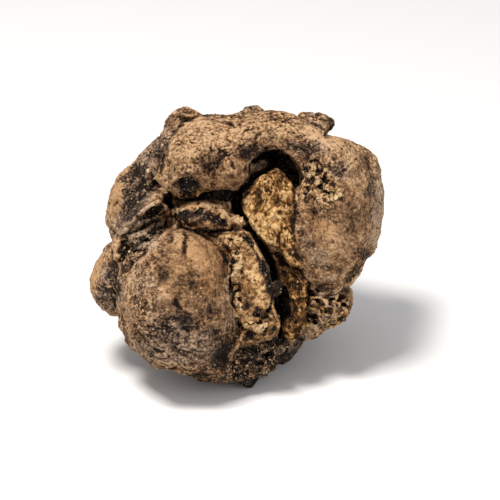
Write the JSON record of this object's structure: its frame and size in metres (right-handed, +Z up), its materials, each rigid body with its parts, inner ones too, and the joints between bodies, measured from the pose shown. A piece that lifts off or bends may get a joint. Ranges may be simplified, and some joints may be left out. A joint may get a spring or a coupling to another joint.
{
  "type": "white truffle",
  "caption": "Whole fresh truffle tuber: rounded lobes round a core, a heavy fold over a torn hollow, a deep crack, and a small flat spot to rest on.",
  "frame": {"origin": "on the surface that the tuber rests on, under the middle of its box", "axes": "+Z up; +X along its longest side, to the right of the open face; the open face looks along -Y and leans back 25 degrees"},
  "size_m": [0.0484, 0.044, 0.0421],
  "materials": {
    "truffle_skin": "dry matt skin, tan to charcoal brown with dark soil in the creases, golden cream flesh where it is torn"
  },
  "bodies": {
    "root": {"truffle": "truffle_skin"}
  },
  "joints": []
}
